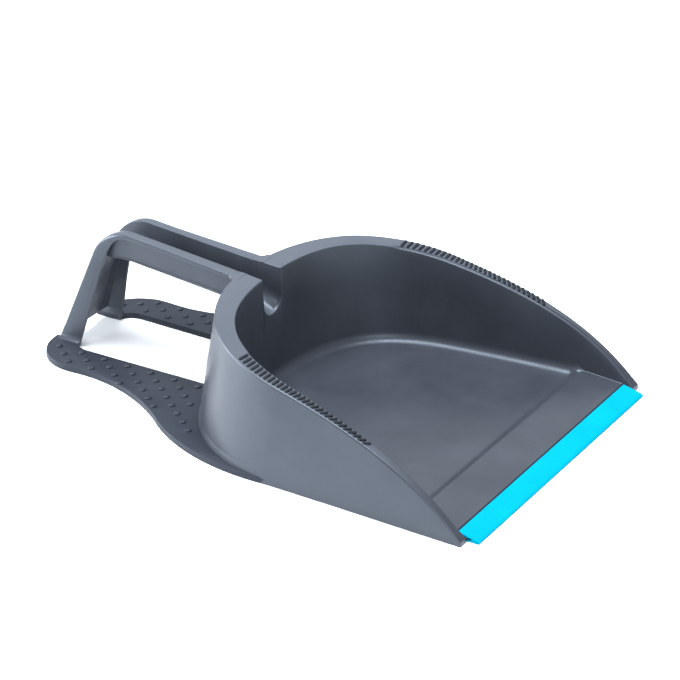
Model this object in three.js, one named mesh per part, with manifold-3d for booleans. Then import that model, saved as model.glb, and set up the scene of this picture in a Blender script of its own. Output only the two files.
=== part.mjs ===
// A dustpan: a deep bowl with a hollow double wall, a ridge before its front ramp, combs on its rim,
// a notched rear wall that opens into a hollow handle, a leg, two foot plates and a soft lip.
// Millimetres, +X towards the lip, +Y to the pan's left, +Z up, resting on z = 0.

import * as THREE from 'three';
import { mergeVertices } from 'three/addons/utils/BufferGeometryUtils.js';
import Module from 'manifold-3d';

const wasm = await Module();
wasm.setup();

// Driving dimensions. "back" values are distances behind the lip's front edge.
const length = 374;
const wall = 2.5;
const gap = 0.3;

// Cutters run to these limits: sideways, upwards, and a little past what they cut.
const farOut = 150;
const tall = 120;
const past = 10;

const lip = { halfWidth: 110, depth: 14.6, rearTop: 5, frontTop: 1.4, leaf: 0.9 };
const tongue = { front: 6, rear: 17.6, bottom: 1.2, top: 2.4 };

const rim = { rearBack: 260, tipBack: 8, tipHeight: 3 };
const floor = { top: 4, bottom: 1.5, rampTop: 4.6, inset: 1.5, rampSplit: 52 };
const ridge = { foot: 50.5, back: 45.5, top: 7.4, side: 106 };
const ridgeHollow = { foot: 49.5, top: 4.9, front: 22 };
const notch = {
  halfWidth: 10.4, bottom: 50.8, wallBack: 214, innerBack: 205, outerBack: 236, rise: 8.5, margin: 1,
};
const comb = {
  rearBack: 173, frontBack: 73, count: 29, toothWidth: 2.1, toothHeight: 0.8, toothRoot: 1.2,
  innerMargin: 2.3, outerMargin: 1.4, sliceHeight: 7, sliceMargin: 3,
};
const regionSplit = 150;

const handle = {
  startBack: 236, startHeight: 80.4, slope: 5, cornerRadius: 29, rearBend: 26, halfWidth: 16.2,
  slotHalfWidth: 9, depth: 24, edgeDepth: 3.2, overlap: 14, bowlEnd: 234, gripEnd: 318,
};
const leg = {
  footBack: 372.3, lean: 20.7, bandDepth: 16.4, bandLean: 15.8, bandBend: 22, crossFront: 3.6,
  crossRear: 0.9, crossBottom: 8.5, archRadius: 4, openingDepth: 32, bend: 3,
};
const spread = { foot: 9, fromHeight: 75, fullBack: 340 };
const plate = { top: 4, innerSide: 31.5, legSide: 22.4 };
const bump = { topRadius: 1.4, footRadius: 2.5, height: 0.9, root: 1, sides: 8 };

// Grip bumps stand in staggered rows; each row runs from a first to a last place, one pitch apart.
const bumpGrid = { firstBack: 343.4, firstSide: 36.8, pitch: 18.7, rowStep: 7.5 };
const bumpRows = [
  { first: -1, last: 5 },
  { first: -0.5, last: 4.5 },
  { first: 0, last: 5 },
  { first: 2.5, last: 5.5 },
  { first: 4, last: 5 },
  { first: 4.5, last: 5.5 },
  { first: 6, last: 6 },
  { first: 6.5, last: 6.5 },
];

const outlineSteps = 22;
const profileSteps = 40;
const plateSteps = 10;
const cornerSteps = 8;
const arcSteps = 10;
const toothSteps = 4;

const bodyPlastic = { color: 0x565b67, roughness: 0.5, metalness: 0 };
const lipRubber = { color: 0x00c8f0, roughness: 0.6, metalness: 0 };

// ---------- helpers ----------

const fromFront = (back) => length / 2 - back;
const radians = (degrees) => THREE.MathUtils.degToRad(degrees);

function toSolid(geometry) {
  const bare = geometry.clone();
  bare.deleteAttribute('normal');
  bare.deleteAttribute('uv');
  const merged = mergeVertices(bare, 1e-4);
  const mesh = new wasm.Mesh({
    numProp: 3,
    vertProperties: Float32Array.from(merged.attributes.position.array),
    triVerts: Uint32Array.from(merged.index.array),
  });
  return new wasm.Manifold(mesh);
}

function toGeometry(solid) {
  const mesh = solid.getMesh();
  const geometry = new THREE.BufferGeometry();
  geometry.setAttribute('position', new THREE.BufferAttribute(Float32Array.from(mesh.vertProperties), 3));
  geometry.setIndex(new THREE.BufferAttribute(Uint32Array.from(mesh.triVerts), 1));
  const flat = geometry.toNonIndexed();
  flat.computeVertexNormals();
  return flat;
}

function union(solids) {
  return solids.reduce((joined, solid) => joined.add(solid));
}

// A block between two x, two y and two z values.
function block(x0, x1, y0, y1, z0, z1) {
  const geometry = new THREE.BoxGeometry(x1 - x0, y1 - y0, z1 - z0);
  geometry.translate((x0 + x1) / 2, (y0 + y1) / 2, (z0 + z1) / 2);
  return toSolid(geometry);
}

// Points along a chain of cubic curves through [back, side] control points.
function curvePoints(controls, steps = outlineSteps) {
  const points = [];
  for (let start = 0; start + 3 < controls.length; start += 3) {
    const [a, b, c, d] = controls.slice(start, start + 4).map(([u, v]) => new THREE.Vector2(u, v));
    const piece = new THREE.CubicBezierCurve(a, b, c, d).getPoints(steps);
    points.push(...(start === 0 ? piece : piece.slice(1)));
  }
  return points;
}

// Moves an open outline sideways, along its own normals, by a distance (positive is outwards).
function offsetOutline(points, distance) {
  return points.map((point, i) => {
    const before = points[Math.max(i - 1, 0)];
    const after = points[Math.min(i + 1, points.length - 1)];
    const along = after.clone().sub(before).normalize();
    const moved = new THREE.Vector2(point.x + along.y * distance, point.y - along.x * distance);
    if (i === 0) moved.y = point.y;
    return moved;
  });
}

// A closed body from rings that are mirrored about y = 0; each ring is a list of [x, y, z] with y >= 0,
// from the middle of the rear to the front. Caps are strips that run across the body.
function mirroredLoft(rings) {
  const half = rings[0].length;
  const size = 2 * half - 1;
  const positions = [];
  for (const ring of rings) {
    for (const [x, y, z] of ring) positions.push(x, y, z);
    for (const [x, y, z] of ring.slice(1)) positions.push(x, -y, z);
  }
  const left = (ring, i) => ring * size + i;
  const right = (ring, i) => ring * size + (i === 0 ? 0 : half + i - 1);
  const faces = [];
  const quad = (a, b, c, d) => faces.push(a, b, c, a, c, d);
  const last = rings.length - 1;
  for (let ring = 0; ring < last; ring += 1) {
    for (let i = 0; i < half - 1; i += 1) {
      quad(left(ring, i + 1), left(ring, i), left(ring + 1, i), left(ring + 1, i + 1));
      quad(right(ring, i), right(ring, i + 1), right(ring + 1, i + 1), right(ring + 1, i));
    }
    quad(right(ring, half - 1), left(ring, half - 1), left(ring + 1, half - 1), right(ring + 1, half - 1));
  }
  for (let i = 0; i < half - 1; i += 1) {
    if (i > 0) {
      quad(left(0, i), left(0, i + 1), right(0, i + 1), right(0, i));
      quad(right(last, i), right(last, i + 1), left(last, i + 1), left(last, i));
    } else {
      faces.push(left(0, 0), left(0, 1), right(0, 1));
      faces.push(right(last, 1), left(last, 1), left(last, 0));
    }
  }
  const geometry = new THREE.BufferGeometry();
  geometry.setAttribute('position', new THREE.BufferAttribute(Float32Array.from(positions), 3));
  geometry.setIndex(faces);
  return toSolid(geometry);
}

// A profile of [back, height] points, extruded across the pan between two y values.
function acrossExtrusion(points, y0, y1) {
  const shape = new THREE.Shape(points.map((p) => new THREE.Vector2(fromFront(p.x), p.y)));
  const geometry = new THREE.ExtrudeGeometry(shape, { depth: y1 - y0, bevelEnabled: false });
  geometry.rotateX(Math.PI / 2);
  geometry.translate(0, y1, 0);
  return toSolid(geometry);
}

// An outline of [back, side] points, extruded upwards between two heights.
function uprightExtrusion(points, z0, z1) {
  const shape = new THREE.Shape(points.map((p) => new THREE.Vector2(fromFront(p.x), p.y)));
  const geometry = new THREE.ExtrudeGeometry(shape, { depth: z1 - z0, bevelEnabled: false });
  geometry.translate(0, 0, z0);
  return toSolid(geometry);
}

// ---------- outlines of the bowl, seen from above, on its left half ----------

const rimInner = curvePoints([
  [215.5, 0], [215.5, 46.7], [203, 91.2], [138.6, 100.9], [95.8, 107.3], [39.3, 112.4], [rim.tipBack, 112],
]);
const rimOuter = curvePoints([
  [233, 0], [233, 57.4], [200, 107.1], [139.7, 111.4], [105.8, 113.7], [45, 118.5], [rim.tipBack, 118.5],
]);
const skirtFoot = curvePoints([
  [247, 0], [248, 55], [212, 112], [150, 116], [105, 116], [50, 118], [rim.tipBack, 118.6],
]);
const floorEdge = offsetOutline(rimInner, -floor.inset);

const rimProfile = curvePoints([
  [rim.rearBack, 82], [235, 80.8], [214, 80.2], [196, 76.4], [120, 63], [51, 50],
  [rim.tipBack, rim.tipHeight],
], profileSteps);

function heightOn(profile, back) {
  const after = profile.findIndex((p) => p.x <= back);
  if (after <= 0) return profile[after === 0 ? 0 : profile.length - 1].y;
  const [a, b] = [profile[after - 1], profile[after]];
  return a.y + ((back - a.x) / (b.x - a.x)) * (b.y - a.y);
}

const rimHeight = (back) => heightOn(rimProfile, back);

const ring = (outline, height) => outline.map((p) => [fromFront(p.x), p.y, height(p.x)]);

// Carries an outline forward past the lip, so that a cutter made from it opens the front.
function carriedForward(outline) {
  const front = outline[outline.length - 1];
  return [...outline, new THREE.Vector2(-past, front.y)];
}

// ---------- the bowl ----------

function outerBody(grow = 0) {
  const foot = offsetOutline(skirtFoot, grow);
  const top = offsetOutline(rimOuter, grow);
  return mirroredLoft([ring(foot, () => 0), ring(top, (back) => rimHeight(back) + grow)]);
}

// The ridge and the ramp that runs down from it to the lip.
function ramp() {
  return acrossExtrusion([
    new THREE.Vector2(ridge.foot, -past),
    new THREE.Vector2(ridge.foot, floor.top),
    new THREE.Vector2(ridge.back, ridge.top),
    new THREE.Vector2(lip.depth, floor.rampTop),
    new THREE.Vector2(-past, floor.rampTop),
    new THREE.Vector2(-past, -past),
  ], -farOut, farOut);
}

function cavity() {
  const foot = carriedForward(floorEdge);
  const edge = carriedForward(rimInner);
  return mirroredLoft([
    ring(foot, () => floor.top),
    ring(edge, (back) => Math.max(rimHeight(back), ridge.top)),
    ring(edge, () => tall),
  ]).subtract(ramp());
}

// Everything inside the inner wall's outer face, moved outwards by a distance.
function innerShell(grow) {
  const outline = offsetOutline(rimInner, wall + grow);
  const foot = offsetOutline(floorEdge, wall + grow);
  return mirroredLoft([ring(foot, () => floor.bottom), ring(outline, () => tall)]);
}

function underHollow() {
  const foot = offsetOutline(skirtFoot, -wall);
  const top = offsetOutline(rimOuter, -wall);
  const roof = (back) => Math.max(rimHeight(back) - wall, 1);
  const below = ring(foot, () => -past);
  const inside = mirroredLoft([below, ring(foot, () => 0), ring(top, roof)]);
  return inside.subtract(innerShell(0));
}

// The notch in the rear wall: a round-bottomed slot whose bottom climbs towards the handle.
function notchCutter() {
  const shape = new THREE.Shape();
  shape.moveTo(notch.halfWidth, tall);
  shape.lineTo(-notch.halfWidth, tall);
  shape.lineTo(-notch.halfWidth, notch.bottom + notch.halfWidth);
  shape.absarc(0, notch.bottom + notch.halfWidth, notch.halfWidth, Math.PI, 2 * Math.PI, false);
  const run = notch.outerBack - notch.innerBack;
  const geometry = new THREE.ExtrudeGeometry(shape, {
    depth: run, bevelEnabled: false, curveSegments: arcSteps,
  });
  const spots = geometry.attributes.position;
  for (let i = 0; i < spots.count; i += 1) {
    const back = notch.innerBack + spots.getZ(i);
    const climb = (back - notch.wallBack) / (notch.outerBack - notch.wallBack);
    const narrow = 1 - climb * (1 - handle.slotHalfWidth / notch.halfWidth);
    spots.setXYZ(i, fromFront(back), -spots.getX(i) * narrow, spots.getY(i) + notch.rise * climb);
  }
  return toSolid(geometry);
}

function notchBlock() {
  const side = notch.halfWidth + wall;
  const [x0, x1] = [fromFront(rim.rearBack), fromFront(notch.innerBack)];
  const rear = block(x0, x1, -side, side, notch.bottom - wall, tall);
  return rear.intersect(outerBody()).subtract(cavity());
}

// One comb tooth: a low bar with round ends, lying along y.
function combTooth(span) {
  const radius = comb.toothWidth / 2;
  const reach = span / 2 - radius;
  const shape = new THREE.Shape();
  shape.absarc(0, reach, radius, 0, Math.PI, false);
  shape.absarc(0, -reach, radius, Math.PI, 2 * Math.PI, false);
  const geometry = new THREE.ExtrudeGeometry(shape, {
    depth: comb.toothRoot + comb.toothHeight, bevelEnabled: false, curveSegments: toothSteps,
  });
  geometry.translate(0, 0, -comb.toothRoot);
  return geometry;
}

// Teeth across the rim, square to its edge.
function combTeeth() {
  const teeth = [];
  const step = (comb.rearBack - comb.frontBack) / (comb.count - 1);
  for (let i = 0; i < comb.count; i += 1) {
    const back = comb.rearBack - i * step;
    const inner = heightOn(rimInner, back) + comb.innerMargin;
    const outer = heightOn(rimOuter, back) - comb.outerMargin;
    const turn = Math.atan2(heightOn(rimOuter, back - 1) - heightOn(rimOuter, back), 1);
    const tilt = Math.atan2(rimHeight(back + 1) - rimHeight(back - 1), 2);
    for (const side of [-1, 1]) {
      const geometry = combTooth(outer - inner);
      geometry.rotateY(tilt);
      geometry.rotateZ(side * turn);
      geometry.translate(fromFront(back), side * (inner + outer) / 2, rimHeight(back));
      teeth.push(toSolid(geometry));
    }
  }
  return union(teeth);
}

function bowlBody() {
  return outerBody().subtract(cavity()).subtract(underHollow())
    .add(notchBlock()).subtract(notchCutter()).add(combTeeth());
}

// ---------- the handle and the leg: strips that follow one bent line ----------

const topHeading = new THREE.Vector2(Math.cos(radians(handle.slope)), Math.sin(radians(handle.slope)));

// The bent line from the bowl to the foot, moved inwards by a distance along the handle and along the
// leg, with a rounded corner between them. The leg leans by an angle from upright.
function bentLine(topInset, legInset, radius, lean = leg.lean) {
  const legHeading = new THREE.Vector2(Math.sin(radians(lean)), -Math.cos(radians(lean)));
  const start = new THREE.Vector2(handle.startBack, handle.startHeight)
    .add(new THREE.Vector2(topHeading.y, -topHeading.x).multiplyScalar(topInset));
  const foot = new THREE.Vector2(leg.footBack, 0)
    .add(new THREE.Vector2(legHeading.y, -legHeading.x).multiplyScalar(legInset));
  const away = foot.clone().sub(start);
  const along = away.cross(legHeading) / topHeading.cross(legHeading);
  const corner = start.clone().add(topHeading.clone().multiplyScalar(along));
  const turn = radians(90 + handle.slope - lean);
  const reach = radius * Math.tan(turn / 2);
  const bend = corner.clone().sub(topHeading.clone().multiplyScalar(reach));
  const centre = bend.clone().add(new THREE.Vector2(topHeading.y, -topHeading.x).multiplyScalar(radius));
  const first = Math.PI / 2 + radians(handle.slope);
  const points = [start.clone().sub(topHeading.clone().multiplyScalar(handle.overlap))];
  for (let i = 0; i <= cornerSteps; i += 1) {
    const angle = first - (turn * i) / cornerSteps;
    points.push(new THREE.Vector2(centre.x + radius * Math.cos(angle), centre.y + radius * Math.sin(angle)));
  }
  points.push(foot.clone().sub(legHeading.clone().multiplyScalar(foot.y / legHeading.y)));
  return points;
}

function strip(outer, inner, y0, y1) {
  const profile = [...bentLine(...outer), ...bentLine(...inner).reverse()];
  return acrossExtrusion(profile, y0, y1);
}

// On each side: a top flange, an edge band that widens down the leg, and the web of the slot. The slot's
// floor joins the two webs, and runs down as the leg's cross wall.
function handleBody() {
  const full = [0, 0, handle.cornerRadius];
  const flange = [wall, leg.crossFront, handle.rearBend];
  const band = [handle.edgeDepth, leg.bandDepth, leg.bandBend, leg.bandLean];
  const underside = [handle.depth, leg.crossFront, leg.bend];
  const troughFloor = [handle.depth - wall, leg.crossRear, leg.bend + wall];
  const webSide = handle.slotHalfWidth + wall;
  const bandSide = handle.halfWidth - wall;
  const pieces = [strip(troughFloor, underside, -webSide, webSide)];
  for (const side of [-1, 1]) {
    const between = (a, b) => (side > 0 ? [a, b] : [-b, -a]);
    pieces.push(strip(full, flange, ...between(handle.slotHalfWidth, handle.halfWidth)));
    pieces.push(strip(full, band, ...between(bandSide, handle.halfWidth)));
    pieces.push(strip(full, underside, ...between(handle.slotHalfWidth, webSide)));
  }
  return union(pieces);
}

// The cross wall stops above the ground, with a small arch in the middle of its lower edge.
function legOpening() {
  const side = handle.halfWidth - wall;
  const [rear, front] = [leg.footBack + past, leg.footBack - leg.openingDepth];
  const below = block(fromFront(rear), fromFront(front), -side, side, -past, leg.crossBottom);
  const arch = new THREE.CylinderGeometry(leg.archRadius, leg.archRadius, rear - front, 2 * arcSteps);
  arch.rotateZ(Math.PI / 2);
  arch.translate(fromFront((rear + front) / 2), 0, leg.crossBottom);
  return below.add(toSolid(arch));
}

// Spreads the leg's sides apart towards the ground; the edge bands keep their thickness.
function spreadLeg(geometry) {
  const spots = geometry.attributes.position;
  const bandSide = handle.halfWidth - wall;
  for (let i = 0; i < spots.count; i += 1) {
    const [y, z] = [spots.getY(i), spots.getZ(i)];
    const low = Math.max(0, 1 - z / spread.fromHeight);
    const inLeg = THREE.MathUtils.smoothstep(length / 2 - spots.getX(i), handle.gripEnd, spread.fullBack);
    const share = THREE.MathUtils.clamp(y / bandSide, -1, 1);
    spots.setY(i, y + share * spread.foot * low * inLeg);
  }
  geometry.computeVertexNormals();
}

// ---------- foot plates ----------

function plateOutline(side) {
  const outer = curvePoints([
    [136, 114.6], [185, 121.5], [226, 106], [252, 84], [272, 68.6], [300, 56.5], [326, 56.5],
    [332, 56.5], [337, 57.2], [342, 57.2], [355, 57.2], [length, 47], [length, 24],
  ], plateSteps);
  const inner = curvePoints([
    [357, plate.legSide], [353, 26], [352, plate.innerSide], [343, plate.innerSide],
  ], plateSteps);
  const underBowl = [new THREE.Vector2(200, plate.innerSide), new THREE.Vector2(141, 90)];
  const points = [...outer, new THREE.Vector2(length, plate.legSide), ...inner, ...underBowl];
  return points.map((p) => new THREE.Vector2(p.x, side * p.y));
}

function bumps(side) {
  const domes = [];
  const depth = bump.root + bump.height;
  bumpRows.forEach(({ first, last }, row) => {
    for (let place = first; place <= last; place += 1) {
      const dome = new THREE.CylinderGeometry(bump.topRadius, bump.footRadius, depth, bump.sides);
      dome.rotateX(Math.PI / 2);
      dome.translate(
        fromFront(bumpGrid.firstBack - place * bumpGrid.pitch),
        side * (bumpGrid.firstSide + row * bumpGrid.rowStep),
        plate.top + bump.height - depth / 2,
      );
      domes.push(toSolid(dome));
    }
  });
  return union(domes);
}

function footPlate(side, keepClear) {
  return uprightExtrusion(plateOutline(side), 0, plate.top).add(bumps(side)).subtract(keepClear);
}

// ---------- lip ----------

function lipBody() {
  const profile = [
    [lip.depth, lip.rearTop], [0, lip.frontTop], [0, 0], [lip.depth, 0], [lip.depth, lip.leaf],
    [tongue.front - gap, lip.leaf], [tongue.front - gap, tongue.top + gap], [lip.depth, tongue.top + gap],
  ].map(([back, height]) => new THREE.Vector2(back, height));
  return acrossExtrusion(profile, -lip.halfWidth, lip.halfWidth);
}

function frontTongue() {
  const [x0, x1] = [fromFront(tongue.rear), fromFront(tongue.front)];
  return block(x0, x1, -lip.halfWidth, lip.halfWidth, tongue.bottom, tongue.top);
}

// ---------- assembly: the moulding's regions, cut apart by a fine gap ----------

// Half of the space, split at a distance behind the lip's front edge.
const behind = (back) => block(-length, fromFront(back), -farOut, farOut, -past, tall);
const ahead = (back) => block(fromFront(back), length, -farOut, farOut, -past, tall);

// Half of the space, to the left (1) or the right (-1) of the middle.
const halfOf = (side) => (side > 0
  ? block(-length, length, gap / 2, farOut, -past, tall)
  : block(-length, length, -farOut, -gap / 2, -past, tall));

// The upright prism that the floor fills, inside the walls.
function floorPrism(inset) {
  const outline = carriedForward(offsetOutline(floorEdge, -inset));
  return mirroredLoft([ring(outline, () => -1), ring(outline, () => ridge.top + 1)]);
}

function floorRamp(floorBody) {
  const hollow = acrossExtrusion([
    new THREE.Vector2(ridgeHollow.foot, -past),
    new THREE.Vector2(ridgeHollow.foot, floor.bottom),
    new THREE.Vector2(ridge.back, ridgeHollow.top),
    new THREE.Vector2(ridgeHollow.front, floor.bottom),
    new THREE.Vector2(ridgeHollow.front, -past),
  ], -ridge.side, ridge.side);
  return floorBody.intersect(ahead(floor.rampSplit)).subtract(hollow)
    .subtract(ahead(lip.depth + gap)).add(frontTongue());
}

// The slice of the walls that carries a comb: the top of the rim, over the comb's length.
function combSlice(side, grow) {
  const rear = comb.rearBack + comb.sliceMargin + grow;
  const front = comb.frontBack - comb.sliceMargin - grow;
  const line = [
    new THREE.Vector2(rear, rimHeight(rear)),
    ...rimProfile.filter((p) => p.x < rear && p.x > front),
    new THREE.Vector2(front, rimHeight(front)),
  ];
  const over = line.map((p) => new THREE.Vector2(p.x, p.y + comb.sliceHeight));
  const under = line.map((p) => new THREE.Vector2(p.x, p.y - comb.sliceHeight - grow)).reverse();
  return acrossExtrusion([...over, ...under], -farOut, farOut).intersect(halfOf(side));
}

// Everything above a surface that runs a distance under the rim.
function aboveRim(drop) {
  const line = rimProfile.map((p) => new THREE.Vector2(p.x, p.y - drop));
  const over = [new THREE.Vector2(rim.tipBack, tall), new THREE.Vector2(rim.rearBack, tall)];
  return acrossExtrusion([...line, ...over], -farOut, farOut);
}

function notchSpace(grow) {
  const side = notch.halfWidth + wall + notch.margin + grow;
  const bottom = notch.bottom - wall - notch.margin - grow;
  return block(-length, fromFront(notch.innerBack), -side, side, bottom, tall);
}

// The rear of the double wall: the notch, and on both sides of it the rim, the inner wall and the skirt.
function rearPieces(walls) {
  const rear = walls.intersect(behind(regionSplit + gap));
  const beside = rear.subtract(notchSpace(gap));
  const under = beside.subtract(aboveRim(wall + gap / 2));
  const regions = {
    rim: beside.intersect(aboveRim(wall - gap / 2)),
    inner_wall: under.intersect(innerShell(gap)),
    skirt: under.subtract(innerShell(gap)),
  };
  const list = { rear_notch: rear.intersect(notchSpace(0)) };
  for (const [name, solid] of Object.entries(regions)) {
    list[`left_rear_${name}`] = solid.intersect(halfOf(1));
    list[`right_rear_${name}`] = solid.intersect(halfOf(-1));
  }
  return list;
}

function handlePieces(keepClear) {
  const body = handleBody().subtract(legOpening());
  const overPlates = block(-length, length, -farOut, farOut, plate.top + gap, tall);
  const grip = behind(handle.bowlEnd).intersect(ahead(handle.gripEnd)).subtract(keepClear);
  return {
    handle_grip: body.intersect(grip),
    handle_leg: body.intersect(behind(handle.gripEnd + gap)).intersect(overPlates),
  };
}

function pieces() {
  const bowl = bowlBody();
  const walls = bowl.subtract(floorPrism(0));
  const besideCombs = walls.subtract(combSlice(1, gap)).subtract(combSlice(-1, gap));
  const floorBody = bowl.intersect(floorPrism(gap));
  const aroundBowl = outerBody(gap);
  const list = {
    floor_panel: floorBody.intersect(behind(floor.rampSplit + gap)),
    floor_ramp: floorRamp(floorBody),
    ...rearPieces(besideCombs),
    ...handlePieces(aroundBowl),
    lip: lipBody(),
  };
  for (const [name, side] of [['left', 1], ['right', -1]]) {
    list[`${name}_wall`] = besideCombs.intersect(ahead(regionSplit)).intersect(halfOf(side));
    list[`${name}_comb`] = walls.intersect(combSlice(side, 0));
    list[`${name}_foot_plate`] = footPlate(side, aroundBowl);
  }
  return list;
}

const group = new THREE.Group();

for (const [name, solid] of Object.entries(pieces())) {
  const geometry = toGeometry(solid);
  if (name === 'handle_leg') spreadLeg(geometry);
  const material = new THREE.MeshStandardMaterial(name === 'lip' ? lipRubber : bodyPlastic);
  const mesh = new THREE.Mesh(geometry, material);
  mesh.name = name;
  group.add(mesh);
}

export default group;
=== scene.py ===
"""A dustpan: one dark moulded body with a deep bowl, combs, a hollow handle, a leg and two foot plates,
and a cyan soft lip. Shapes are worked out in millimetres and made in metres.

"back" is a distance behind the lip's front edge, "side" a distance from the pan's middle plane. A place
on a chain of curves counts whole curves from the chain's start.
"""
import math

import bmesh
import bpy
import numpy as np
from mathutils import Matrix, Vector


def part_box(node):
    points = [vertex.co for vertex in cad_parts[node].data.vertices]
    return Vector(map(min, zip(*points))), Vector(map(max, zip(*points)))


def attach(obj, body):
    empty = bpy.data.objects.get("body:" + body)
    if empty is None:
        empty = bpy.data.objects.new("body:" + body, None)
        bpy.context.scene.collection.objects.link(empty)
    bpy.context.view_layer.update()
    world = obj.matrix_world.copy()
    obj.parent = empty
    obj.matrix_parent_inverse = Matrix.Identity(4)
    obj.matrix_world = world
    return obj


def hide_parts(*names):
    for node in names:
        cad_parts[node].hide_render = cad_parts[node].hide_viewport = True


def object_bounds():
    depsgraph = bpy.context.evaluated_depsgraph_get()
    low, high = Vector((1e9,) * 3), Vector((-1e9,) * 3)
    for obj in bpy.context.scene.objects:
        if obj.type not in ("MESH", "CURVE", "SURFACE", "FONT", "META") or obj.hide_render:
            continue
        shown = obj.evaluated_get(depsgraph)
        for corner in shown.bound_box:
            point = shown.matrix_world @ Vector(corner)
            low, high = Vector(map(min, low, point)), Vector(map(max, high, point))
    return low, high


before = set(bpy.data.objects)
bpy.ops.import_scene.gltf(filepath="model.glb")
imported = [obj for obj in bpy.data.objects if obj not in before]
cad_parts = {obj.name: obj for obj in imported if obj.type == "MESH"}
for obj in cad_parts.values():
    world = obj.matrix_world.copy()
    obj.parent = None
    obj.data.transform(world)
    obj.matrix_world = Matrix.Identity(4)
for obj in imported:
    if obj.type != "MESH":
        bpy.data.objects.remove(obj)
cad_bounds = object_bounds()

MM = 0.001
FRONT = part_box("lip")[1].x / MM
LIP_HALF_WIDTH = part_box("lip")[1].y / MM

# ---------- driving dimensions of the bowl, in millimetres ----------

# Chains of two cubic curves, from the middle of the rear wall to the tip. The first three are seen from
# above, as (back, side), and the last is the rim's (back, height).
RIM_INNER = [(215.5, 0), (215.5, 46.7), (203, 91.2), (138.6, 100.9), (95.8, 107.3), (39.3, 112.4), (8, 112)]
RIM_OUTER = [(233, 0), (233, 57.4), (200, 107.1), (139.7, 111.4), (105.8, 113.7), (45, 118.5), (8, 118.5)]
SKIRT_FOOT = [(247, 0), (248, 55), (212, 112), (150, 116), (105, 116), (50, 118), (8, 118.6)]
RIM_PROFILE = [(260, 82), (235, 80.8), (214, 80.2), (196, 76.4), (120, 63), (51, 50), (8, 3)]
# Places on a chain: its end, and the end of the stretch that runs across the rear wall.
CHAIN_END = 2
REAR_END = 0.6
COARSE_SAMPLES, FINE_SAMPLES = 161, 4001

LIP_DEPTH = 14.6
TONGUE_TOP = 2.2
TONGUE_BOTTOM = 1.1

WALL = 2.5
SKIRT_WALL = 2.2
SKIRT_FLARE = 1.5
SKIRT_FLARE_TOP = 8.0
SKIRT_FLARE_TOP_SHARE = 0.6
SKIRT_FLARE_BACKS = (150, 172)
# Least heights at the tip, where the wall runs out: of the hollow, of its roof and of the wall.
LEAST_HOLLOW = 0.6
LEAST_ROOF = 0.4
LEAST_WALL = 0.1
# The corner partway up the inside: its share of the wall's height, and how far it stays below the notch.
LOW_CORNER_SHARE = 0.6
LOW_CORNER_GAP = 0.8
FLOOR_INSET = 1.5
FLOOR_BOTTOM = 1.5
FLOOR_PROFILE = [(0, 4.6), (LIP_DEPTH, 4.6), (45.5, 7.4), (50.5, 4), (260, 4)]
FLOOR_BREAK_ROUND = 1.8
FLOOR_FLAT_BACK = 60
FLOOR_STEPS = 16
RIDGE_BACK = 46
RIDGE_BLEND = 3
# The floor's end inside the wall and the fillet between them, behind the ridge and in front of it.
FLOOR_MARGIN, FRONT_MARGIN = 16, 1.2
FLOOR_FILLET, FRONT_FILLET = 7, 0.9

NOTCH_HALF_WIDTH = 10.4
NOTCH_OUTER_HALF_WIDTH = 9.6
NOTCH_BOTTOM = 50.8
NOTCH_RISE = 8.3
NOTCH_WALL = 2.5
NOTCH_EDGE_ROUND = 1.2
NOTCH_EDGE_DROP = 0.4
# Where the outer curve is matched to the inner one, and where the match fades out.
NOTCH_PLACE = 0.1
NOTCH_BLEND = (0.12, REAR_END)

COMB_REAR = 173
COMB_FRONT = 73
COMB_COUNT = 29
TOOTH_WIDTH = 2.1
TOOTH_HEIGHT = 0.8
TOOTH_INNER = 2.3
TOOTH_OUTER = 1.4
# Shares of the tooth's width and height, from its root inside the rim to its top.
TOOTH_PROFILE = [(1, -0.625), (1, 0.45), (0.85, 0.85), (0.5, 1)]
LEDGE_WIDTH = 2.0
LEDGE_DEPTH = 0.9
# How far behind the comb the ledge begins, and the backs between which it fades out at the tip.
LEDGE_START = 4
LEDGE_FADE = (8, 16)
LEAST_LEDGE = 0.02

# Slices lie a step of the rim's places apart as far as the comb, and then some millimetres.
REAR_STEP = 0.016
COMB_STEP = 1.4
TIP_SLICES = (LIP_DEPTH, LIP_DEPTH - 0.1, 13.6, 12.4, 11.2, 10.2, 9.4, 8.7, 8.3, 8)

# ---------- driving dimensions of the handle and the leg, in millimetres ----------

PLATE_TOP = 4
HANDLE_START = 236
HANDLE_HEIGHT = 80.4
HANDLE_SLOPE = math.radians(5)
HANDLE_HALF_WIDTH = [(228, 18.8), (252, 17.8), (296, 16.1)]
SLOT_HALF_WIDTH = [(228, 9.9), (234, 9.63), (240, 9.3), (295, 8.6)]
TROUGH_ROUND = [(232, 8.5), (250, 5.5)]
# Fillets at the rear wall: where each begins, and its radius.
SIDE_FILLET = (232.5, 4.0)
UNDERSIDE_FILLET = (236.5, 4.5)
WEB_FILLET = (238.5, 4.4)
CORNER_RADIUS = 29
CORNER_SLICES = 24
# Where the handle is sliced: inside the rear wall, along the fillets, and from there to the corner.
ROOT_SLICES = (228, 230, 231.5)
FILLET_SLICES = np.arange(232.5, 246, 0.75)
HANDLE_SLICE_START, HANDLE_STEP = 247, 7.5
TILT_BACKS = (HANDLE_START - 3, HANDLE_START + 4)
LEG_TOP_SLICES = (0.4, 1.2, 2.2, 3.4, 6)
LEG_FOOT = 372.3
LEG_LEAN = math.radians(20.7)
# The heights between which the leg's sections turn level.
LEG_LEVEL_HEIGHTS = (45, 15)
LEG_HALF_WIDTH = [(5, 24.6), (68, 17.2)]
LEG_FILLET = (PLATE_TOP, 3.5)
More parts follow.
